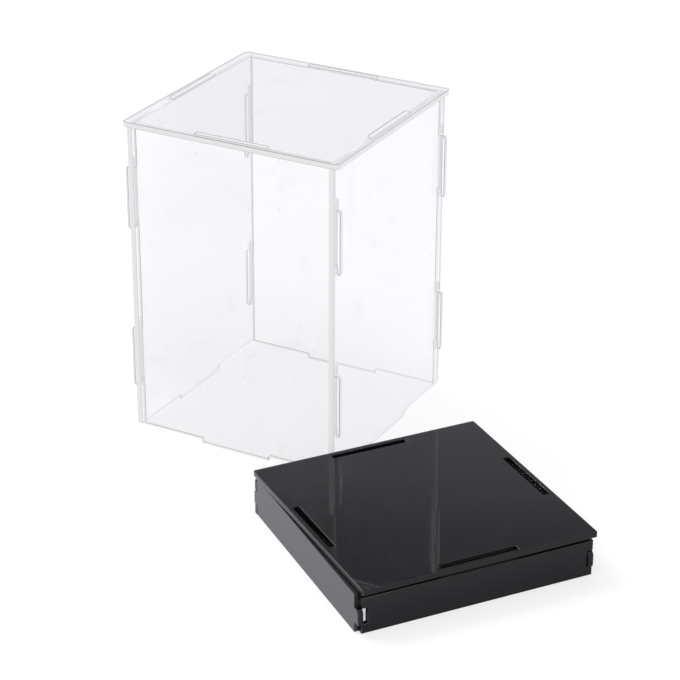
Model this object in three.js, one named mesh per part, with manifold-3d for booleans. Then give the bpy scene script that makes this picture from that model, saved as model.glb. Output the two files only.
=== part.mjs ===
import * as THREE from "three";
import { mergeVertices } from "three/addons/utils/BufferGeometryUtils.js";
import Module from "manifold-3d";

const wasm = await Module();
wasm.setup();

// Acrylic display box cut from flat sheet: a clear cover of five panels, standing beside the
// black base that it came off. Every panel is one laser-cut outline of the same sheet, and the
// panels hold each other by hooks in slots, tabs in slots and fingers in notches.
// Millimetres, Z up. Both halves stand on z = 0.

// Sheet, and the play between one panel and the next
const sheet = 3;
const fitGap = 0.25;
const overrun = 1; // how far a cutter passes the sheet's two faces
const arcSteps = 4;

// Top plate and base plate: the same square and slots, with the cover's corners rounder
const plateSide = 130;
const coverCorner = 3;
const baseCorner = 1;

// Tabs in the middle of the walls' edges: the upper ones end flush with the top plate, the
// lower ones are shorter than the sheet, so they drop into the base plate and not through it
const tabWidth = 42.4;
const footTab = 2.5;

// Cover
const coverHeight = 182.5;
const wallInset = 2.8; // plate's edge to the walls' outer faces
const ear = 1.5; // side wall past the outer face of the front and back walls
const earCorner = 1.5;

// Hooks on the front and back walls: two a side, with a lip that hangs in front of the side wall
const hookHeight = 36.5;
const hookMargin = 22.8; // wall's lower edge to the lower hook, and upper edge to the upper one
const lipDrop = 5.1;
const hookRound = 2.4;
const lipRound = 1.2;

// Base: the left and right skirts carry the plate, and the other two are lower
const skirtHeight = 21.5;
const endSkirtHeight = 19.9;
const skirtInset = 1; // plate's edge to the skirts' outer faces
const notchFloor = 5.2;
const notchHeight = 9;
const fingerRound = 2.5;
const fingerHeel = 0.5;

// The base plate lies loose, a little to the right on its skirts. The left skirt has sprung out,
// and its front finger is almost clear of its notch.
const plateSlide = 0.75;
const slipFront = 2.5;

// The base on the table: turned from the cover, with its back edge off the cover's nearest
// corner and its middle a little to one side of it
const baseTurn = THREE.MathUtils.degToRad(53.8);
const baseApart = 9.95;
const baseAside = 12.2;

// Places worked out from the sizes above
const plateHalf = plateSide / 2;
const wallFace = plateHalf - wallInset;
const wallBottom = footTab;
const wallTop = coverHeight - sheet - fitGap;
const endWallHalf = wallFace - sheet - fitGap;
const sideWallHalf = wallFace + ear;
const slotWidth = sheet + 2 * fitGap;
const slotPlace = wallFace - sheet / 2;
const lowHook = wallBottom + hookMargin;
const highHook = wallTop - hookMargin - hookHeight;
const skirtFace = plateHalf - skirtInset;
const sideSkirtHalf = skirtFace - sheet - fitGap;

// Axes that stand a flat outline up: its y turns to +Z and its thickness to -Y or +X
const alongX = new THREE.Vector3(1, 0, 0);
const alongY = new THREE.Vector3(0, 1, 0);
const alongZ = new THREE.Vector3(0, 0, 1);
const facingFront = new THREE.Matrix4().makeBasis(alongX, alongZ, alongY.clone().negate());
const facingSide = new THREE.Matrix4().makeBasis(alongY, alongZ, alongX);

const clearColour = 0xf1f1f6;
const blackColour = 0x2b2b2e;

// A material of the piece's own
function clearAcrylic() {
  return new THREE.MeshStandardMaterial({ color: clearColour, roughness: 0.05, metalness: 0 });
}

function blackAcrylic() {
  return new THREE.MeshStandardMaterial({ color: blackColour, roughness: 0.08, metalness: 0 });
}

// One round corner of an outline: the path runs straight to the arc's start, then round it
function turnCorner(path, before, corner, after, radius) {
  const inward = before.clone().sub(corner).normalize();
  const outward = after.clone().sub(corner).normalize();
  const halfAngle = Math.acos(inward.dot(outward)) / 2;
  const reach = radius / Math.tan(halfAngle);
  const start = corner.clone().addScaledVector(inward, reach);
  const end = corner.clone().addScaledVector(outward, reach);
  const middle = inward.clone().add(outward).normalize();
  const centre = corner.clone().addScaledVector(middle, radius / Math.sin(halfAngle));
  const fromAngle = Math.atan2(start.y - centre.y, start.x - centre.x);
  const toAngle = Math.atan2(end.y - centre.y, end.x - centre.x);
  const clockwise = inward.cross(outward) > 0;
  path.absarc(centre.x, centre.y, radius, fromAngle, toAngle, clockwise);
}

// A closed outline through [x, y] or [x, y, corner radius], anticlockwise
function outlineThrough(corners) {
  const shape = new THREE.Shape();
  const points = corners.map(([x, y]) => new THREE.Vector2(x, y));
  points.forEach((point, i) => {
    const before = points.at(i - 1);
    const after = points[(i + 1) % points.length];
    const radius = corners[i][2] ?? 0;
    if (radius > 0) {
      turnCorner(shape, before, point, after, radius);
    } else if (i > 0) {
      shape.lineTo(point.x, point.y);
    } else {
      shape.moveTo(point.x, point.y);
    }
  });
  shape.closePath();
  return shape;
}

// An outline that is the same left and right, from the corners of its right half, bottom up
function mirroredOutline(rightCorners) {
  const leftCorners = rightCorners.map(([x, y, radius]) => [-x, y, radius]).reverse();
  return outlineThrough([...rightCorners, ...leftCorners]);
}

function cutFromSheet(shape) {
  return new THREE.ExtrudeGeometry(shape, { depth: sheet, bevelEnabled: false, curveSegments: arcSteps });
}

// A closed mesh as a solid that can be cut
function solidOf(geometry) {
  const bare = geometry.clone();
  bare.deleteAttribute("normal");
  bare.deleteAttribute("uv");
  const merged = mergeVertices(bare);
  return new wasm.Manifold(new wasm.Mesh({
    numProp: 3,
    vertProperties: merged.attributes.position.array,
    triVerts: merged.index.array,
  }));
}

// A solid back as a mesh with flat faces
function geometryOf(solid) {
  const mesh = solid.getMesh();
  const geometry = new THREE.BufferGeometry();
  geometry.setAttribute("position", new THREE.BufferAttribute(mesh.vertProperties, mesh.numProp));
  geometry.setIndex(new THREE.BufferAttribute(mesh.triVerts, 1));
  const faceted = geometry.toNonIndexed();
  faceted.computeVertexNormals();
  return faceted;
}

// The sheet with a slot cut through it round each [x, y, width, height]
function slotted(geometry, slots) {
  const cut = slots.reduce((solid, [x, y, width, height]) => {
    const cutter = new THREE.BoxGeometry(width, height, sheet + 2 * overrun);
    cutter.translate(x, y, sheet / 2);
    return solid.subtract(solidOf(cutter));
  }, solidOf(geometry));
  return geometryOf(cut);
}

// Square plate with one slot inside each edge, over the walls' tabs
function plateGeometry(corner) {
  const outline = mirroredOutline([
    [plateHalf, -plateHalf, corner],
    [plateHalf, plateHalf, corner],
  ]);
  const slotLength = tabWidth + 2 * fitGap;
  const slots = [-slotPlace, slotPlace].flatMap((place) => [
    [0, place, slotLength, slotWidth],
    [place, 0, slotWidth, slotLength],
  ]);
  return slotted(cutFromSheet(outline), slots);
}

// Corners of one hook, bottom up: the slit behind the lip, the lip, then back over the neck
function hookCorners(hookBottom) {
  const neckBottom = hookBottom + lipDrop;
  const hookTop = hookBottom + hookHeight;
  const lipBack = wallFace + fitGap;
  return [
    [endWallHalf, neckBottom],
    [lipBack, neckBottom],
    [lipBack, hookBottom, lipRound],
    [plateHalf, hookBottom, lipRound],
    [plateHalf, hookTop, hookRound],
    [endWallHalf, hookTop],
  ];
}

// Front or back wall of the cover
function endWallGeometry() {
  return cutFromSheet(mirroredOutline([
    [tabWidth / 2, 0],
    [tabWidth / 2, wallBottom],
    [endWallHalf, wallBottom],
    ...hookCorners(lowHook),
    ...hookCorners(highHook),
    [endWallHalf, wallTop],
    [tabWidth / 2, wallTop],
    [tabWidth / 2, coverHeight],
  ]));
}

// Left or right wall of the cover, with two slots near each upright edge. A slot is as long as
// a whole hook, so the hook goes in level and the wall then drops until its necks sit.
function sideWallGeometry() {
  const outline = mirroredOutline([
    [tabWidth / 2, 0],
    [tabWidth / 2, wallBottom],
    [sideWallHalf, wallBottom, earCorner],
    [sideWallHalf, wallTop, earCorner],
    [tabWidth / 2, wallTop],
    [tabWidth / 2, coverHeight],
  ]);
  const slotHeight = hookHeight + 2 * fitGap;
  const slots = [lowHook, highHook].flatMap((hookBottom) => {
    const slotMiddle = hookBottom + lipDrop - fitGap + slotHeight / 2;
    return [-slotPlace, slotPlace].map((place) => [place, slotMiddle, slotWidth, slotHeight]);
  });
  return slotted(cutFromSheet(outline), slots);
}

// Front or back skirt of the base, with an open notch in each end
function endSkirtGeometry() {
  const notchEnd = skirtFace - sheet - fitGap;
  const notchTop = notchFloor + notchHeight;
  return cutFromSheet(mirroredOutline([
    [skirtFace, 0],
    [skirtFace, notchFloor],
    [notchEnd, notchFloor],
    [notchEnd, notchTop],
    [skirtFace, notchTop],
    [skirtFace, endSkirtHeight],
  ]));
}

// Left or right skirt of the base: it stands between the other two, and a finger on each end
// goes through their notches as far as the plate's edge
function sideSkirtGeometry() {
  const fingerBottom = notchFloor + fitGap;
  const fingerTop = notchFloor + notchHeight - fitGap;
  return cutFromSheet(mirroredOutline([
    [sideSkirtHalf, 0],
    [sideSkirtHalf, fingerBottom],
    [plateHalf, fingerBottom, fingerHeel],
    [plateHalf, fingerTop, fingerRound],
    [sideSkirtHalf, fingerTop],
    [sideSkirtHalf, skirtHeight],
  ]));
}

function panel(name, geometry, material, standing) {
  const mesh = new THREE.Mesh(geometry, material);
  mesh.name = name;
  if (standing) {
    mesh.quaternion.setFromRotationMatrix(standing);
  }
  return mesh;
}

function makeCover() {
  const cover = new THREE.Group();

  const topPlate = panel("cover_top_plate", plateGeometry(coverCorner), clearAcrylic());
  topPlate.position.z = coverHeight - sheet;

  const frontWall = panel("cover_front_wall", endWallGeometry(), clearAcrylic(), facingFront);
  frontWall.position.y = -wallFace + sheet;

  const backWall = panel("cover_back_wall", endWallGeometry(), clearAcrylic(), facingFront);
  backWall.position.y = wallFace;

  const leftWall = panel("cover_left_wall", sideWallGeometry(), clearAcrylic(), facingSide);
  leftWall.position.x = -wallFace;

  const rightWall = panel("cover_right_wall", sideWallGeometry(), clearAcrylic(), facingSide);
  rightWall.position.x = wallFace - sheet;

  cover.add(topPlate, frontWall, backWall, leftWall, rightWall);
  return cover;
}

function makeBase() {
  const base = new THREE.Group();
  const skirts = new THREE.Group();
  skirts.position.x = -plateSlide;

  const plate = panel("base_plate", plateGeometry(baseCorner), blackAcrylic());
  plate.position.z = skirtHeight + fitGap;

  const frontSkirt = panel("base_front_skirt", endSkirtGeometry(), blackAcrylic(), facingFront);
  frontSkirt.position.y = -skirtFace + sheet;

  const backSkirt = panel("base_back_skirt", endSkirtGeometry(), blackAcrylic(), facingFront);
  backSkirt.position.y = skirtFace;

  const rightSkirt = panel("base_right_skirt", sideSkirtGeometry(), blackAcrylic(), facingSide);
  rightSkirt.position.x = skirtFace - sheet;

  // The left skirt turns about the upright line at the back end of its outer face
  const slipped = new THREE.Group();
  slipped.position.set(-skirtFace, sideSkirtHalf, 0);
  slipped.rotation.z = -Math.atan2(slipFront, 2 * sideSkirtHalf);
  const leftSkirt = panel("base_left_skirt", sideSkirtGeometry(), blackAcrylic(), facingSide);
  leftSkirt.position.y = -sideSkirtHalf;
  slipped.add(leftSkirt);

  skirts.add(frontSkirt, backSkirt, rightSkirt, slipped);
  base.add(plate, skirts);
  return base;
}

const displayBox = new THREE.Group();
const base = makeBase();
const nearestCorner = new THREE.Vector3(plateHalf, -plateHalf, 0);
const cornerToBase = new THREE.Vector3(baseAside, -baseApart - plateHalf, 0);
base.rotation.z = baseTurn;
base.position.copy(nearestCorner).add(cornerToBase.applyAxisAngle(alongZ, baseTurn));
displayBox.add(makeCover(), base);

// The origin lies on the table under the middle of the whole set
const middle = new THREE.Box3().setFromObject(displayBox, true).getCenter(new THREE.Vector3());
displayBox.position.set(-middle.x, -middle.y, 0);

export default displayBox;
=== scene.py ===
import math

import bmesh
import bpy
from mathutils import Matrix, Vector


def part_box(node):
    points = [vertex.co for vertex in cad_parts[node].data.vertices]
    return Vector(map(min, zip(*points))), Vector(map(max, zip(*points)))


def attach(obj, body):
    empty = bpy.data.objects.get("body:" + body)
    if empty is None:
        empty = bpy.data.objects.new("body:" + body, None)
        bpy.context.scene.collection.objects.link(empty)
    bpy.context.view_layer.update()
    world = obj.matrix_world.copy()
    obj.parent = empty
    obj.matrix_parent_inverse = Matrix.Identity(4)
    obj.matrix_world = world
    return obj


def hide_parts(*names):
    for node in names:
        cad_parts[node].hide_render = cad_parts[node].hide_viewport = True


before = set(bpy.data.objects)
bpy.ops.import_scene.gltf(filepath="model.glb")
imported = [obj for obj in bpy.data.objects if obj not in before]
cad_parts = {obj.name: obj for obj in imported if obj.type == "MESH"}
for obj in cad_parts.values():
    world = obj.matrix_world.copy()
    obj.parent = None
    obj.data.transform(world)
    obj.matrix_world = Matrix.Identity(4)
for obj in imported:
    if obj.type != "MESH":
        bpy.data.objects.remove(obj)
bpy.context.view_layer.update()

# Acrylic display box: a clear five-panel cover standing beside its black base.
# Metres, Z up, both halves on the floor at z = 0.

print("1  camera, floor and light")

photoCamera = {
    "place": (0.505507, -0.963997, 0.618223),
    "aim": (-0.021533, 0.015466, 0.075850),
    "roll": 0.241,  # degrees
    "lens": 123.64,  # millimetres, as is the sensor
    "sensor": 36,
    "farEnd": 50,
}

studio = {
    "floorSide": 12,
    "floorColour": (0.397, 0.395, 0.389),
    "floorGlow": 0.63,  # what the camera sees of the floor on top of its own colour
    "farFloor": (0.75, 2.5),  # metres out over which that rises to 1, where the lamps don't reach
    "throughShare": 0.81,  # how much of that glow shows through clear sheet
    "mirrorGlow": (0.67, 0.675, 0.755),  # and what reflections see of the floor
    # the places from here to farSide are along the base's own axes, from the middle of its plate
    "paintedShadeLimits": (-0.065, -0.060),  # painted shade: the floor glow that reflections see is dimmed right of the first and in front of the second
    "paintedShadeShare": 0.27,  # how much of it is left there
    # a second painted shade dims the glow that reflections see on a strip between the first two, from
    # none at the third to all at the fourth
    "paintedSideShade": (-0.0900, -0.0841, 0.095, 0.022),
    "underBase": ((-0.0630, 0.0615), (-0.0625, 0.0625)),  # the floor inside the skirts, which is dark
    "notchCorner": (-0.0485, -0.0440),  # left of and in front of these, light comes in at the open notch
    # painted shade: the floor glow that the cover's left wall mirrors is weaker: the slant below the
    # first pair, y above the second
    "farSlant": (1, -0.54, 0),
    "farSide": (-0.14, -0.09),
    "farBack": (0.03, 0.07),
    "farShare": 0.5,
    # height of a direction, 0 level and 1 straight up, and how light the room is there
    "room": ((0.0, 0.80), (0.34, 0.74), (0.40, 0.60), (0.446, 0.42), (0.469, 0.27), (0.499, 0.20),
             (0.59, 0.24), (0.82, 0.95)),
    "roomTint": (1, 1, 1.08),
}

softboxes = {
    "keySoftbox": {"place": (-1.25, 0.1, 1.45), "side": 1.0, "power": 18.2},
    "fillSoftbox": {"place": (0.9, -1.7, 0.9), "side": 1.2, "power": 15},
}


def addCamera(spec):
    data = bpy.data.cameras.new("photoCamera")
    data.lens = spec["lens"]
    data.sensor_width = spec["sensor"]
    data.clip_end = spec["farEnd"]
    camera = bpy.data.objects.new("photoCamera", data)
    bpy.context.scene.collection.objects.link(camera)
    place, aim = Vector(spec["place"]), Vector(spec["aim"])
    turn = (aim - place).to_track_quat("-Z", "Y").to_matrix().to_4x4()
    roll = Matrix.Rotation(math.radians(spec["roll"]), 4, "Z")
    camera.matrix_world = Matrix.Translation(place) @ turn @ roll
    bpy.context.scene.camera = camera


def addSoftbox(name, spec):
    data = bpy.data.lights.new(name, "AREA")
    data.shape = "SQUARE"
    data.size = spec["side"]
    data.energy = spec["power"]
    lamp = bpy.data.objects.new(name, data)
    bpy.context.scene.collection.objects.link(lamp)
    place = Vector(spec["place"])
    turn = (-place).to_track_quat("-Z", "Y").to_matrix().to_4x4()
    lamp.matrix_world = Matrix.Translation(place) @ turn


def nodeOf(tree, kind, x, y, **settings):
    node = tree.nodes.new(kind)
    node.location = (x, y)
    for key, value in settings.items():
        setattr(node, key, value)
    return node


def emptyTree(owner):
    owner.use_nodes = True
    owner.node_tree.nodes.clear()
    return owner.node_tree


def mathOf(tree, operation, x, y, *values):
    node = nodeOf(tree, "ShaderNodeMath", x, y, operation=operation)
    for socket, value in zip(node.inputs, values):
        if isinstance(value, bpy.types.NodeSocket):
            tree.links.new(value, socket)
        else:
            socket.default_value = value
    return node.outputs[0]


def rangeOf(tree, x, y, value, low, high, start=0, end=1):
    node = nodeOf(tree, "ShaderNodeMapRange", x, y)
    tree.links.new(value, node.inputs["Value"])
    for name, limit in (("From Min", start), ("From Max", end), ("To Min", low), ("To Max", high)):
        node.inputs[name].default_value = limit
    return node.outputs["Result"]


def seenDirectly(tree, share, x, y):
    # 1 for the camera, a share for what it sees through clear sheet, 0 once light has bounced
    path = nodeOf(tree, "ShaderNodeLightPath", x, y)
    depths = (path.outputs["Diffuse Depth"], path.outputs["Glossy Depth"])
    bounced = mathOf(tree, "ADD", x + 180, y - 100, *depths)
    straight = mathOf(tree, "LESS_THAN", x + 360, y - 100, bounced, 0.5)
    through = mathOf(tree, "MULTIPLY", x + 540, y - 100, path.outputs["Is Transmission Ray"], straight)
    shared = mathOf(tree, "MULTIPLY", x + 720, y - 100, through, share)
    return mathOf(tree, "MAXIMUM", x + 900, y, path.outputs["Is Camera Ray"], shared)


def seenMirrored(tree, x, y):
    # 1 for what the camera sees by reflection, also where that passes clear sheet on its way
    path = nodeOf(tree, "ShaderNodeLightPath", x, y)
    mirrored = mathOf(tree, "GREATER_THAN", x + 180, y, path.outputs["Glossy Depth"], 0.5)
    plain = mathOf(tree, "LESS_THAN", x + 180, y - 150, path.outputs["Diffuse Depth"], 0.5)
    return mathOf(tree, "MULTIPLY", x + 360, y, mirrored, plain)


straightEdge = 0.1299  # metres: longer edges of the base plate's mesh are diagonals of its faces
nearlyFlat = 1e-6


def baseAxes():
    # Middle of the base and its turn, from the longest edge of its plate
    low, high = (Vector(corner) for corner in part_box("base_plate"))
    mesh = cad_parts["base_plate"].data
    ends = [[mesh.vertices[i].co for i in edge.vertices] for edge in mesh.edges]
    sides = [b - a for a, b in ends if abs((b - a).z) < nearlyFlat]
    longest = max((side for side in sides if side.length < straightEdge), key=lambda side: side.length)
    return (low + high) / 2, math.atan2(longest.y, longest.x)


def alongBase(tree, x, y):
    # Object coordinates as places along the base's own two axes
    middle, turn = baseAxes()
    where = nodeOf(tree, "ShaderNodeTexCoord", x, y)
    shift = nodeOf(tree, "ShaderNodeVectorMath", x + 180, y, operation="SUBTRACT")
    shift.inputs[1].default_value = middle
    spin = nodeOf(tree, "ShaderNodeVectorRotate", x + 360, y, rotation_type="Z_AXIS")
    spin.inputs["Angle"].default_value = -turn
    parts = nodeOf(tree, "ShaderNodeSeparateXYZ", x + 540, y)
    tree.links.new(where.outputs["Object"], shift.inputs[0])
    tree.links.new(shift.outputs[0], spin.inputs["Vector"])
    tree.links.new(spin.outputs[0], parts.inputs[0])
    return parts.outputs["X"], parts.outputs["Y"]


def openFloor(tree, spec, along, x, y):
    # 0 inside the base's skirts, where no light gets in, and 1 outside and behind the open notch
    inside = []
    for i, (value, (low, high)) in enumerate(zip(along, spec["underBase"])):
        above = mathOf(tree, "GREATER_THAN", x, y - 150 * i, value, low)
        below = mathOf(tree, "LESS_THAN", x + 180, y - 150 * i, value, high)
        inside.append(mathOf(tree, "MULTIPLY", x + 360, y - 150 * i, above, below))
    right, back = (mathOf(tree, "GREATER_THAN", x, y - 300 - 150 * i, value, limit)
                   for i, (value, limit) in enumerate(zip(along, spec["notchCorner"])))
    closed = mathOf(tree, "MAXIMUM", x + 360, y - 300, right, back)
    dark = mathOf(tree, "MULTIPLY", x + 540, y, *inside)
    dark = mathOf(tree, "MULTIPLY", x + 720, y, dark, closed)
    return mathOf(tree, "SUBTRACT", x + 900, y, 1, dark)


def outsidePaintedShade(tree, spec, along, x, y):
    # Painted shade: less than 1 on the floor in front of the base's front skirt, in the glow that
    # reflections see
    right = mathOf(tree, "GREATER_THAN", x, y, along[0], spec["paintedShadeLimits"][0])
    front = mathOf(tree, "LESS_THAN", x, y - 150, along[1], spec["paintedShadeLimits"][1])
    shaded = mathOf(tree, "MULTIPLY", x + 180, y, right, front)
    taken = mathOf(tree, "MULTIPLY", x + 360, y, shaded, 1 - spec["paintedShadeShare"])
    return mathOf(tree, "SUBTRACT", x + 540, y, 1, taken)


def paintedSideShadeFactor(tree, spec, along, x, y):
    # Painted shade: falls to 0 beside the front half of the loose left skirt, in the glow that
    # reflections see
    left, right, far, near = spec["paintedSideShade"]
    strip = mathOf(tree, "MULTIPLY", x + 180, y, mathOf(tree, "GREATER_THAN", x, y, along[0], left),
                   mathOf(tree, "LESS_THAN", x, y - 150, along[0], right))
    shade = rangeOf(tree, x, y - 300, along[1], 0, 1, far, near)
    return mathOf(tree, "SUBTRACT", x + 540, y, 1, mathOf(tree, "MULTIPLY", x + 360, y, strip, shade))


def farGlow(tree, spec, x, y):
    # Painted shade: less than 1 on the floor that the cover's left wall mirrors
    where = nodeOf(tree, "ShaderNodeTexCoord", x, y)
    slant = nodeOf(tree, "ShaderNodeVectorMath", x + 180, y, operation="DOT_PRODUCT")
    slant.inputs[1].default_value = spec["farSlant"]
    parts = nodeOf(tree, "ShaderNodeSeparateXYZ", x + 180, y - 150)
    tree.links.new(where.outputs["Object"], slant.inputs[0])
    tree.links.new(where.outputs["Object"], parts.inputs[0])
    left = rangeOf(tree, x + 360, y, slant.outputs["Value"], 1, 0, *spec["farSide"])
    back = rangeOf(tree, x + 360, y - 150, parts.outputs["Y"], 0, 1 - spec["farShare"], *spec["farBack"])
    return mathOf(tree, "SUBTRACT", x + 720, y, 1, mathOf(tree, "MULTIPLY", x + 540, y, left, back))


def floorMaterial(spec):
    material = bpy.data.materials.new("paleFloor")
    tree = emptyTree(material)
    link = tree.links.new
    along = alongBase(tree, -2200, -200)
    bare = openFloor(tree, spec, along, -1400, -200)
    direct = seenDirectly(tree, spec["throughShare"], -1500, 300)
    lit = mathOf(tree, "MULTIPLY", -380, 300, direct, bare)
    where = nodeOf(tree, "ShaderNodeTexCoord", -1100, 520)
    away = nodeOf(tree, "ShaderNodeVectorMath", -920, 520, operation="LENGTH")
    link(where.outputs["Object"], away.inputs[0])
    level = rangeOf(tree, -740, 520, away.outputs["Value"], spec["floorGlow"], 1, *spec["farFloor"])
    glow = nodeOf(tree, "ShaderNodeEmission", 0, 300)
    link(mathOf(tree, "MULTIPLY", -200, 300, lit, level), glow.inputs["Strength"])
    # painted shade: the glow that reflections see is dimmed in front of the base
    open_ = mathOf(tree, "MULTIPLY", -560, 60, bare, outsidePaintedShade(tree, spec, along, -1400, -600))
    mirrored = nodeOf(tree, "ShaderNodeEmission", 0, 120)
    mirrored.inputs["Color"].default_value = (*spec["mirrorGlow"], 1)
    # painted shade: the glow that reflections see is dimmed beside the left skirt and where the cover's
    # left wall mirrors it
    side = mathOf(tree, "MULTIPLY", -560, -100, paintedSideShadeFactor(tree, spec, along, -1400, -900),
                  farGlow(tree, spec, -1400, -1200))
    shaded = mathOf(tree, "MULTIPLY", -380, -100, open_, side)
    strength = mathOf(tree, "MULTIPLY", -200, 60, seenMirrored(tree, -1000, 60), shaded)
    link(strength, mirrored.inputs["Strength"])
    matt = nodeOf(tree, "ShaderNodeBsdfDiffuse", 0, -40)
    matt.inputs["Color"].default_value = (*spec["floorColour"], 1)
    glows = nodeOf(tree, "ShaderNodeAddShader", 200, 200)
    both = nodeOf(tree, "ShaderNodeAddShader", 380, 40)
    out = nodeOf(tree, "ShaderNodeOutputMaterial", 560, 40)
    link(glow.outputs[0], glows.inputs[0])
    link(mirrored.outputs[0], glows.inputs[1])
    link(glows.outputs[0], both.inputs[0])
    link(matt.outputs[0], both.inputs[1])
    link(both.outputs[0], out.inputs["Surface"])
    return material


def addFloor(spec):
    half = spec["floorSide"] / 2
    mesh = bpy.data.meshes.new("floor")
    corners = [(-half, -half, 0), (half, -half, 0), (half, half, 0), (-half, half, 0)]
    mesh.from_pydata(corners, [], [(0, 1, 2, 3)])
    mesh.materials.append(floorMaterial(spec))
    floor = bpy.data.objects.new("floor", mesh)
    bpy.context.scene.collection.objects.link(floor)


def setRoom(spec):
    world = bpy.data.worlds.new("room")
    bpy.context.scene.world = world
    tree = emptyTree(world)
    link = tree.links.new
    where = nodeOf(tree, "ShaderNodeTexCoord", -900, -100)
    split = nodeOf(tree, "ShaderNodeSeparateXYZ", -700, -100)
    ramp = nodeOf(tree, "ShaderNodeValToRGB", -500, -100)
    stops = ramp.color_ramp.elements
    while len(stops) < len(spec["room"]):
        stops.new(0.5)
    for stop, (height, light) in zip(stops, spec["room"]):
        stop.position = height
        stop.color = (*(light * tint for tint in spec["roomTint"]), 1)
    walls = nodeOf(tree, "ShaderNodeBackground", -200, -100)
    white = nodeOf(tree, "ShaderNodeBackground", -200, -260)
    white.inputs["Color"].default_value = (1, 1, 1, 1)
    direct = seenDirectly(tree, 1, -1100, 260)
    mix = nodeOf(tree, "ShaderNodeMixShader", 60, 0)
    out = nodeOf(tree, "ShaderNodeOutputWorld", 260, 0)
    link(where.outputs["Generated"], split.inputs[0])
    link(split.outputs["Z"], ramp.inputs["Fac"])
    link(ramp.outputs["Color"], walls.inputs["Color"])
    link(direct, mix.inputs["Fac"])
    link(walls.outputs[0], mix.inputs[1])
    link(white.outputs[0], mix.inputs[2])
    link(mix.outputs[0], out.inputs["Surface"])


bpy.context.scene.view_settings.view_transform = "Standard"
addCamera(photoCamera)
addFloor(studio)
setRoom(studio)
for name, spec in softboxes.items():
    addSoftbox(name, spec)

print("2  shared effects")


def newGroup(name, inputs, outputs):
    group = bpy.data.node_groups.new(name, "ShaderNodeTree")
    for socketName, kind, value in inputs:
        socket = group.interface.new_socket(socketName, in_out="INPUT", socket_type=kind)
        socket.default_value = value
    for socketName, kind in outputs:
        group.interface.new_socket(socketName, in_out="OUTPUT", socket_type=kind)
    source = nodeOf(group, "NodeGroupInput", -1000, 0)
    target = nodeOf(group, "NodeGroupOutput", 800, 0)
    return group, source, target


def dustGroup():
    # Single specks: round dots in some of the cells of a Voronoi pattern
    group, source, target = newGroup(
        "dustSpecks",
        [("Vector", "NodeSocketVector", (0, 0, 0)), ("Scale", "NodeSocketFloat", 400),
         ("Size", "NodeSocketFloat", 0.1), ("Amount", "NodeSocketFloat", 0.1)],
        [("Mask", "NodeSocketFloat")])
    link = group.links.new
    cells = nodeOf(group, "ShaderNodeTexVoronoi", -700, 0, feature="F1")
    channel = nodeOf(group, "ShaderNodeSeparateColor", -500, -160)
    link(source.outputs["Vector"], cells.inputs["Vector"])
    link(source.outputs["Scale"], cells.inputs["Scale"])
    link(cells.outputs["Color"], channel.inputs[0])
    small = mathOf(group, "LESS_THAN", -400, 100, cells.outputs["Distance"], source.outputs["Size"])
    rare = mathOf(group, "LESS_THAN", -300, -160, channel.outputs["Red"], source.outputs["Amount"])
    link(mathOf(group, "MULTIPLY", 0, 0, small, rare), target.inputs["Mask"])
    return group


def smudgeGroup():
    # Faint marks of handling: soft noise cut off low, so that most of the sheet stays clean
    group, source, target = newGroup(
        "handMarks",
        [("Vector", "NodeSocketVector", (0, 0, 0)), ("Scale", "NodeSocketFloat", 18),
         ("From", "NodeSocketFloat", 0.55), ("To", "NodeSocketFloat", 0.8)],
        [("Mask", "NodeSocketFloat")])
    link = group.links.new
    noise = nodeOf(group, "ShaderNodeTexNoise", -700, 0)
    noise.inputs["Detail"].default_value = 5
    noise.inputs["Roughness"].default_value = 0.62
    noise.inputs["Distortion"].default_value = 0.6
    cut = nodeOf(group, "ShaderNodeMapRange", -300, 0)
    link(source.outputs["Vector"], noise.inputs["Vector"])
    link(source.outputs["Scale"], noise.inputs["Scale"])
    link(noise.outputs["Fac"], cut.inputs["Value"])
    link(source.outputs["From"], cut.inputs["From Min"])
    link(source.outputs["To"], cut.inputs["From Max"])
    link(cut.outputs["Result"], target.inputs["Mask"])
    return group


def laserGroup():
    # Lines that a laser leaves on a cut edge: noise drawn out along the way through the sheet
    group, source, target = newGroup(
        "laserLines",
        [("Vector", "NodeSocketVector", (0, 0, 0)), ("Across", "NodeSocketVector", (0, 0, 1)),
         ("Scale", "NodeSocketFloat", 1500), ("Drawn", "NodeSocketFloat", -0.96)],
        [("Mask", "NodeSocketFloat")])
    link = group.links.new
    depth = nodeOf(group, "ShaderNodeVectorMath", -760, 0, operation="DOT_PRODUCT")
    shift = nodeOf(group, "ShaderNodeVectorMath", -360, 0, operation="SCALE")
    flat = nodeOf(group, "ShaderNodeVectorMath", -160, 0, operation="ADD")
    noise = nodeOf(group, "ShaderNodeTexNoise", 60, 0)
    noise.inputs["Detail"].default_value = 3
    link(source.outputs["Vector"], depth.inputs[0])
    link(source.outputs["Across"], depth.inputs[1])
    share = mathOf(group, "MULTIPLY", -560, 0, depth.outputs["Value"], source.outputs["Drawn"])
    link(source.outputs["Across"], shift.inputs[0])
    link(share, shift.inputs["Scale"])
    link(source.outputs["Vector"], flat.inputs[0])
    link(shift.outputs[0], flat.inputs[1])
    link(flat.outputs[0], noise.inputs["Vector"])
    link(source.outputs["Scale"], noise.inputs["Scale"])
    link(noise.outputs["Fac"], target.inputs["Mask"])
    return group


shared = {"dust": dustGroup(), "marks": smudgeGroup(), "laser": laserGroup()}


def placeGroup(tree, key, x, y, vector, **values):
    node = nodeOf(tree, "ShaderNodeGroup", x, y, node_tree=shared[key])
    for name, value in values.items():
        node.inputs[name].default_value = value
    tree.links.new(vector, node.inputs["Vector"])
    return node


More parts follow.
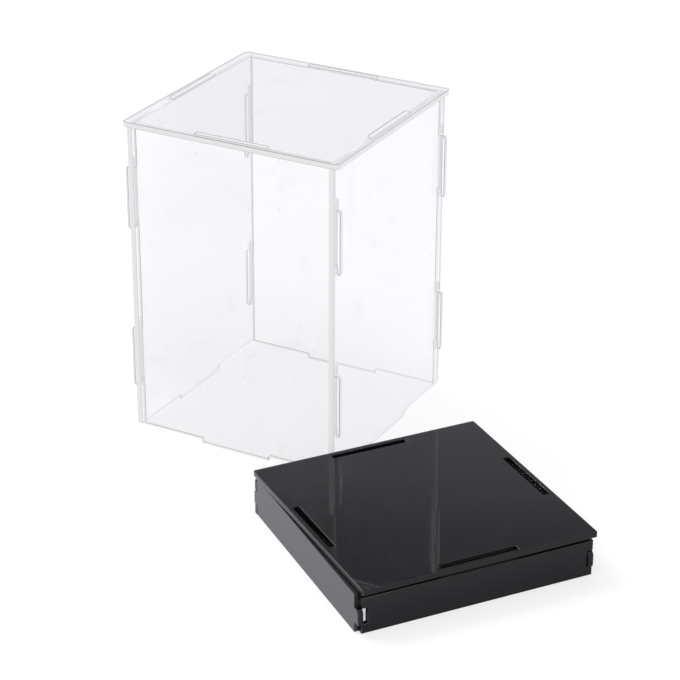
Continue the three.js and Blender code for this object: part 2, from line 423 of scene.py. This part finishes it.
def colourMix(tree, x, y, share, low, high):
    node = nodeOf(tree, "ShaderNodeMix", x, y, data_type="RGBA")
    tree.links.new(share, node.inputs["Factor"])
    for name, value in (("A", low), ("B", high)):
        socket = next(s for s in node.inputs if s.name == name and s.type == "RGBA")
        if isinstance(value, bpy.types.NodeSocket):
            tree.links.new(value, socket)
        else:
            socket.default_value = (*value, 1)
    return next(s for s in node.outputs if s.type == "RGBA")


print("3  clear and black acrylic")

clearSheet = {
    "colour": (0.985, 0.985, 0.986),
    "marked": (0.92, 0.92, 0.92),
    "dust": (0.70, 0.70, 0.70),
    "marks": {"Scale": 55, "From": 0.58, "To": 0.8},
    "specks": {"Scale": 260, "Size": 0.13, "Amount": 0.016},
    "ior": 1.49,
    "clean": 0.0,  # roughness, and where it is marked
    "smeared": 0.05,
    "edgeLight": (0.205, 0.205, 0.205),
    "edgeDark": (0.19, 0.19, 0.19),
    "arrisLight": (0.095, 0.095, 0.094),
    "arrisDark": (0.07, 0.07, 0.069),
    "edgeFine": 0.25,
    "edgeCoarse": 0.35,
    "edgeLines": 0.03,  # bump of the laser's lines
    "edgeThrough": 0.01,
    "edgeGlow": 2.95,  # painted light: the cut edges glow by this share of their colour, standing in for light that the sheet leads to them
    "edgeMirrored": 0.6,  # how clear the cut edges are where something else mirrors them
    "shadow": (0.875, 0.875, 0.88),  # what one surface lets through to the lamps
}

blackSheet = {
    "colour": (0.0045, 0.0045, 0.0056),
    "marked": (0.010, 0.010, 0.011),
    "dust": (0.30, 0.30, 0.31),
    "marks": {"Scale": 16, "From": 0.55, "To": 0.9},
    "specks": {"Scale": 320, "Size": 0.07, "Amount": 0.03},
    "ior": 1.49,
    "clean": 0.004,
    "smeared": 0.07,
    "edgeLight": (0.005, 0.005, 0.006),
    "edgeDark": (0.002, 0.002, 0.0025),
    "arrisLight": (0.010, 0.010, 0.011),
    "arrisDark": (0.003, 0.003, 0.0035),
    "edgeFine": 0.24,
    "edgeCoarse": 0.34,
    "edgeLines": 0.01,
    "lean": (0.35, 1.4),  # degrees by which the loose plate's bowed face leans along the base's axes
}

lineDepth = 0.0001  # metres


def newMaterial(name):
    material = bpy.data.materials.new(name)
    tree = emptyTree(material)
    return material, tree, nodeOf(tree, "ShaderNodeTexCoord", -900, 0).outputs["Object"]


def addLineBump(tree, lines, strength, shader):
    bump = nodeOf(tree, "ShaderNodeBump", -180, -300)
    bump.inputs["Strength"].default_value = strength
    bump.inputs["Distance"].default_value = lineDepth
    tree.links.new(lines, bump.inputs["Height"])
    tree.links.new(bump.outputs[0], shader.inputs["Normal"])


def throughLamps(tree, shader, colour, mirrored=0):
    # Light on its way to other surfaces passes the clear sheet unbent, so that its shadow stays light
    path = nodeOf(tree, "ShaderNodeLightPath", 200, 300)
    kinds = (path.outputs["Is Shadow Ray"], path.outputs["Is Diffuse Ray"])
    passing = mathOf(tree, "MAXIMUM", 400, 300, *kinds)
    if mirrored:
        faint = mathOf(tree, "MULTIPLY", 400, 460, seenMirrored(tree, 0, 460), mirrored)
        passing = mathOf(tree, "MAXIMUM", 560, 300, passing, faint)
    open_ = nodeOf(tree, "ShaderNodeBsdfTransparent", 400, -300)
    open_.inputs["Color"].default_value = (*colour, 1)
    mix = nodeOf(tree, "ShaderNodeMixShader", 640, 0)
    out = nodeOf(tree, "ShaderNodeOutputMaterial", 840, 0)
    tree.links.new(passing, mix.inputs["Fac"])
    tree.links.new(shader.outputs[0], mix.inputs[1])
    tree.links.new(open_.outputs[0], mix.inputs[2])
    tree.links.new(mix.outputs[0], out.inputs["Surface"])


def clearFaceMaterial(spec):
    material, tree, where = newMaterial("clearFace")
    marks = placeGroup(tree, "marks", -600, 200, where, **spec["marks"]).outputs[0]
    dust = placeGroup(tree, "dust", -600, -100, where, **spec["specks"]).outputs[0]
    glass = nodeOf(tree, "ShaderNodeBsdfPrincipled", 100, 0)
    glass.inputs["IOR"].default_value = spec["ior"]
    glass.inputs["Transmission Weight"].default_value = 1
    dirt = mathOf(tree, "MAXIMUM", -380, 60, marks, dust)
    smeared = colourMix(tree, -380, 240, marks, spec["colour"], spec["marked"])
    colour = colourMix(tree, -180, 200, dust, smeared, spec["dust"])
    tree.links.new(colour, glass.inputs["Base Color"])
    rough = rangeOf(tree, -180, -60, dirt, spec["clean"], spec["smeared"])
    tree.links.new(rough, glass.inputs["Roughness"])
    throughLamps(tree, glass, spec["shadow"])
    return material


def clearEdgeMaterial(spec, part, name, across):
    material, tree, where = newMaterial(name)
    lines = placeGroup(tree, "laser", -600, 0, where, Across=across).outputs[0]
    glass = nodeOf(tree, "ShaderNodeBsdfPrincipled", 100, 0)
    glass.inputs["IOR"].default_value = spec["ior"]
    glass.inputs["Transmission Weight"].default_value = spec["edgeThrough"]
    colour = colourMix(tree, -180, 200, lines, spec[part + "Dark"], spec[part + "Light"])
    tree.links.new(colour, glass.inputs["Base Color"])
    # painted light: the cut edge's colour also glows, so the edges light up though they are no lamp
    tree.links.new(colour, glass.inputs["Emission Color"])
    glass.inputs["Emission Strength"].default_value = spec["edgeGlow"]
    rough = rangeOf(tree, -180, -60, lines, spec["edgeFine"], spec["edgeCoarse"])
    tree.links.new(rough, glass.inputs["Roughness"])
    addLineBump(tree, lines, spec["edgeLines"], glass)
    throughLamps(tree, glass, spec["shadow"], spec["edgeMirrored"])
    return material


def blackFaceMaterial(spec, name, lean=None):
    material, tree, where = newMaterial(name)
    marks = placeGroup(tree, "marks", -600, 200, where, **spec["marks"]).outputs[0]
    dust = placeGroup(tree, "dust", -600, -100, where, **spec["specks"]).outputs[0]
    gloss = nodeOf(tree, "ShaderNodeBsdfPrincipled", 100, 0)
    gloss.inputs["IOR"].default_value = spec["ior"]
    smeared = colourMix(tree, -380, 240, marks, spec["colour"], spec["marked"])
    colour = colourMix(tree, -180, 200, dust, smeared, spec["dust"])
    tree.links.new(colour, gloss.inputs["Base Color"])
    rough = rangeOf(tree, -180, -60, marks, spec["clean"], spec["smeared"])
    tree.links.new(rough, gloss.inputs["Roughness"])
    if lean:
        # a height that falls evenly along the base's axes turns the face's normal by the lean
        rise = nodeOf(tree, "ShaderNodeVectorMath", -380, -300, operation="DOT_PRODUCT")
        slope = Vector([-math.tan(math.radians(angle)) for angle in lean] + [0])
        rise.inputs[1].default_value = Matrix.Rotation(baseAxes()[1], 3, "Z") @ slope
        bow = nodeOf(tree, "ShaderNodeBump", -180, -300)
        bow.inputs["Distance"].default_value = 1
        tree.links.new(where, rise.inputs[0])
        tree.links.new(rise.outputs["Value"], bow.inputs["Height"])
        tree.links.new(bow.outputs[0], gloss.inputs["Normal"])
    out = nodeOf(tree, "ShaderNodeOutputMaterial", 400, 0)
    tree.links.new(gloss.outputs[0], out.inputs["Surface"])
    return material


def blackEdgeMaterial(spec, part, name, across):
    material, tree, where = newMaterial(name)
    lines = placeGroup(tree, "laser", -600, 0, where, Across=across).outputs[0]
    gloss = nodeOf(tree, "ShaderNodeBsdfPrincipled", 100, 0)
    gloss.inputs["IOR"].default_value = spec["ior"]
    colour = colourMix(tree, -180, 200, lines, spec[part + "Dark"], spec[part + "Light"])
    tree.links.new(colour, gloss.inputs["Base Color"])
    rough = rangeOf(tree, -180, -60, lines, spec["edgeFine"], spec["edgeCoarse"])
    tree.links.new(rough, gloss.inputs["Roughness"])
    addLineBump(tree, lines, spec["edgeLines"], gloss)
    out = nodeOf(tree, "ShaderNodeOutputMaterial", 400, 0)
    tree.links.new(gloss.outputs[0], out.inputs["Surface"])
    return material


clearFace = clearFaceMaterial(clearSheet)
blackFace = blackFaceMaterial(blackSheet, "blackFace")
blackTop = blackFaceMaterial(blackSheet, "blackTop", blackSheet["lean"])

print("4  panels")

cutting = {
    "arris": 0.00025,  # the knocked-off edge between face and cut
    "arrisSteps": 2,
    "arcAngle": 35,  # degrees: facets of a round corner that shade as one
    "flatAngle": 1,  # degrees: triangles of one flat face
    "same": 1e-6,  # points nearer than this are one
    "faceDot": 0.99,  # how squarely a face looks across the sheet, and below the other it is a cut
    "cutDot": 0.05,
}

# new piece: CAD node, body
clearPanels = {
    "coverTopPanel": ("cover_top_plate", "cover_top"),
    "coverFrontPanel": ("cover_front_wall", "cover_ends"),
    "coverBackPanel": ("cover_back_wall", "cover_ends"),
    "coverLeftPanel": ("cover_left_wall", "cover_sides"),
    "coverRightPanel": ("cover_right_wall", "cover_sides"),
}
blackPanels = {
    "baseTopPanel": ("base_plate", "base_deck"),
    "baseFrontPanel": ("base_front_skirt", "base_frame"),
    "baseBackPanel": ("base_back_skirt", "base_frame"),
    "baseLeftPanel": ("base_left_skirt", "base_frame"),
    "baseRightPanel": ("base_right_skirt", "base_frame"),
}

# Cover top and base top are one design: a square plate with a slot inside each edge
slottedPlates = {
    "coverTopPanel": {"Side": 0.130, "Thickness": 0.003, "Corner": 0.003, "Slot Length": 0.0429,
                      "Slot Width": 0.0035, "Slot Place": 0.0607},
    "baseTopPanel": {"Side": 0.130, "Thickness": 0.003, "Corner": 0.001, "Slot Length": 0.0429,
                     "Slot Width": 0.0035, "Slot Place": 0.0607},
}
cornerSteps = 8
slotCount = 4


def plateTree():
    tree = bpy.data.node_groups.new("slottedPlate", "GeometryNodeTree")
    for name in ("Side", "Thickness", "Corner", "Slot Length", "Slot Width", "Slot Place", "Turn"):
        tree.interface.new_socket(name, in_out="INPUT", socket_type="NodeSocketFloat")
    tree.interface.new_socket("Place", in_out="INPUT", socket_type="NodeSocketVector")
    tree.interface.new_socket("Material", in_out="INPUT", socket_type="NodeSocketMaterial")
    tree.interface.new_socket("Geometry", in_out="OUTPUT", socket_type="NodeSocketGeometry")
    link = tree.links.new
    source = nodeOf(tree, "NodeGroupInput", -1600, 0)
    # outline with round corners
    square = nodeOf(tree, "GeometryNodeCurvePrimitiveQuadrilateral", -1300, 300, mode="RECTANGLE")
    link(source.outputs["Side"], square.inputs["Width"])
    link(source.outputs["Side"], square.inputs["Height"])
    rounded = nodeOf(tree, "GeometryNodeFilletCurve", -1100, 300, mode="POLY")
    rounded.inputs["Count"].default_value = cornerSteps
    link(square.outputs["Curve"], rounded.inputs["Curve"])
    link(source.outputs["Corner"], rounded.inputs["Radius"])
    # one slot, repeated round the middle
    slot = nodeOf(tree, "GeometryNodeCurvePrimitiveQuadrilateral", -1300, -100, mode="RECTANGLE")
    link(source.outputs["Slot Length"], slot.inputs["Width"])
    link(source.outputs["Slot Width"], slot.inputs["Height"])
    offset = nodeOf(tree, "ShaderNodeCombineXYZ", -1300, -300)
    link(source.outputs["Slot Place"], offset.inputs["Y"])
    moved = nodeOf(tree, "GeometryNodeTransform", -1100, -100)
    link(slot.outputs["Curve"], moved.inputs["Geometry"])
    link(offset.outputs["Vector"], moved.inputs["Translation"])
    sides = nodeOf(tree, "GeometryNodePoints", -1100, -400)
    sides.inputs["Count"].default_value = slotCount
    number = nodeOf(tree, "GeometryNodeInputIndex", -1300, -600)
    quarter = mathOf(tree, "MULTIPLY", -1100, -600, number.outputs[0], 2 * math.pi / slotCount)
    aim = nodeOf(tree, "ShaderNodeCombineXYZ", -900, -600)
    link(quarter, aim.inputs["Z"])
    round_ = nodeOf(tree, "GeometryNodeInstanceOnPoints", -700, -200)
    link(sides.outputs[0], round_.inputs["Points"])
    link(moved.outputs[0], round_.inputs["Instance"])
    link(aim.outputs["Vector"], round_.inputs["Rotation"])
    slots = nodeOf(tree, "GeometryNodeRealizeInstances", -500, -200)
    link(round_.outputs[0], slots.inputs[0])
    # sheet between outline and slots, then its thickness
    loops = nodeOf(tree, "GeometryNodeJoinGeometry", -300, 100)
    link(rounded.outputs[0], loops.inputs[0])
    link(slots.outputs[0], loops.inputs[0])
    sheet = nodeOf(tree, "GeometryNodeFillCurve", -100, 100, mode="TRIANGLES")
    link(loops.outputs[0], sheet.inputs[0])
    thick = nodeOf(tree, "GeometryNodeExtrudeMesh", 100, 200, mode="FACES")
    thick.inputs["Individual"].default_value = False
    link(sheet.outputs[0], thick.inputs["Mesh"])
    link(source.outputs["Thickness"], thick.inputs["Offset Scale"])
    under = nodeOf(tree, "GeometryNodeFlipFaces", 100, -100)
    link(sheet.outputs[0], under.inputs[0])
    both = nodeOf(tree, "GeometryNodeJoinGeometry", 300, 100)
    link(thick.outputs["Mesh"], both.inputs[0])
    link(under.outputs[0], both.inputs[0])
    closed = nodeOf(tree, "GeometryNodeMergeByDistance", 500, 100)
    closed.inputs["Distance"].default_value = cutting["same"]
    link(both.outputs[0], closed.inputs["Geometry"])
    turned = nodeOf(tree, "ShaderNodeCombineXYZ", 500, -150)
    link(source.outputs["Turn"], turned.inputs["Z"])
    placed = nodeOf(tree, "GeometryNodeTransform", 700, 100)
    link(closed.outputs[0], placed.inputs["Geometry"])
    link(source.outputs["Place"], placed.inputs["Translation"])
    link(turned.outputs[0], placed.inputs["Rotation"])
    plain = nodeOf(tree, "GeometryNodeRealizeInstances", 900, 100)
    link(placed.outputs[0], plain.inputs[0])
    dressed = nodeOf(tree, "GeometryNodeSetMaterial", 1100, 100)
    link(plain.outputs[0], dressed.inputs["Geometry"])
    link(source.outputs["Material"], dressed.inputs["Material"])
    target = nodeOf(tree, "NodeGroupOutput", 1300, 100)
    link(dressed.outputs[0], target.inputs[0])
    return tree


def plateMesh(name, node, tree, material):
    low, high = (Vector(corner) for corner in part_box(node))
    values = dict(slottedPlates[name], Material=material, Place=(*((low + high) / 2).xy, low.z),
                  Turn=baseAxes()[1] if node == "base_plate" else 0)
    holder = bpy.data.objects.new(name, bpy.data.meshes.new(name))
    bpy.context.scene.collection.objects.link(holder)
    modifier = holder.modifiers.new("plate", "NODES")
    modifier.node_group = tree
    for socket in tree.interface.items_tree:
        if socket.in_out == "INPUT":
            modifier[socket.identifier] = values[socket.name]
    mesh = bpy.data.meshes.new_from_object(holder.evaluated_get(bpy.context.evaluated_depsgraph_get()))
    holder.modifiers.clear()
    bpy.data.objects.remove(holder)
    return mesh


def isFace(face, across):
    return abs(face.normal.dot(across)) > cutting["faceDot"]


def isArris(face, across):
    return cutting["cutDot"] < abs(face.normal.dot(across)) < cutting["faceDot"]


def isCorner(edge, across):
    # between a face of the sheet and its cut
    return len(edge.link_faces) == 2 and len({isFace(face, across) for face in edge.link_faces}) == 2


def panelFrom(name, sheet, spec):
    work = bmesh.new()
    work.from_mesh(sheet)
    bmesh.ops.remove_doubles(work, verts=work.verts, dist=spec["same"])
    bmesh.ops.dissolve_limit(work, angle_limit=math.radians(spec["flatAngle"]), verts=work.verts,
                             edges=work.edges)
    across = max(work.faces, key=lambda face: face.calc_area()).normal.copy()
    arrises = [edge for edge in work.edges if isCorner(edge, across)]
    bmesh.ops.bevel(work, geom=arrises, offset=spec["arris"], offset_type="OFFSET",
                    segments=spec["arrisSteps"], profile=0.5, affect="EDGES", clamp_overlap=True)
    for face in work.faces:
        face.material_index = 0 if isFace(face, across) else 2 if isArris(face, across) else 1
    mesh = bpy.data.meshes.new(name)
    work.to_mesh(mesh)
    work.free()
    mesh.set_sharp_from_angle(angle=math.radians(spec["arcAngle"]))
    for face in mesh.polygons:
        face.use_smooth = face.material_index > 0
    piece = bpy.data.objects.new(name, mesh)
    bpy.context.scene.collection.objects.link(piece)
    return piece, across


slottedPlate = plateTree()
edgeMaterials = {}


def edgeMaterialFor(kind, spec, part, make, across):
    key = (kind, part, tuple(round(abs(value), 3) for value in across))
    if key not in edgeMaterials:
        name = f"{kind}{part.capitalize()}{len(edgeMaterials) + 1}"
        edgeMaterials[key] = make(spec, part, name, across)
    return edgeMaterials[key]


def addPanels(panels, kind, spec, face, makeEdge):
    for name, (node, body) in panels.items():
        material = blackTop if name == "baseTopPanel" else face
        isPlate = name in slottedPlates
        sheet = plateMesh(name, node, slottedPlate, material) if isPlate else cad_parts[node].data
        piece, across = panelFrom(name, sheet, cutting)
        piece.data.materials.append(material)
        for part in ("edge", "arris"):
            piece.data.materials.append(edgeMaterialFor(kind, spec, part, makeEdge, across))
        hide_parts(node)
        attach(piece, body)


addPanels(clearPanels, "clear", clearSheet, clearFace, clearEdgeMaterial)
addPanels(blackPanels, "black", blackSheet, blackFace, blackEdgeMaterial)
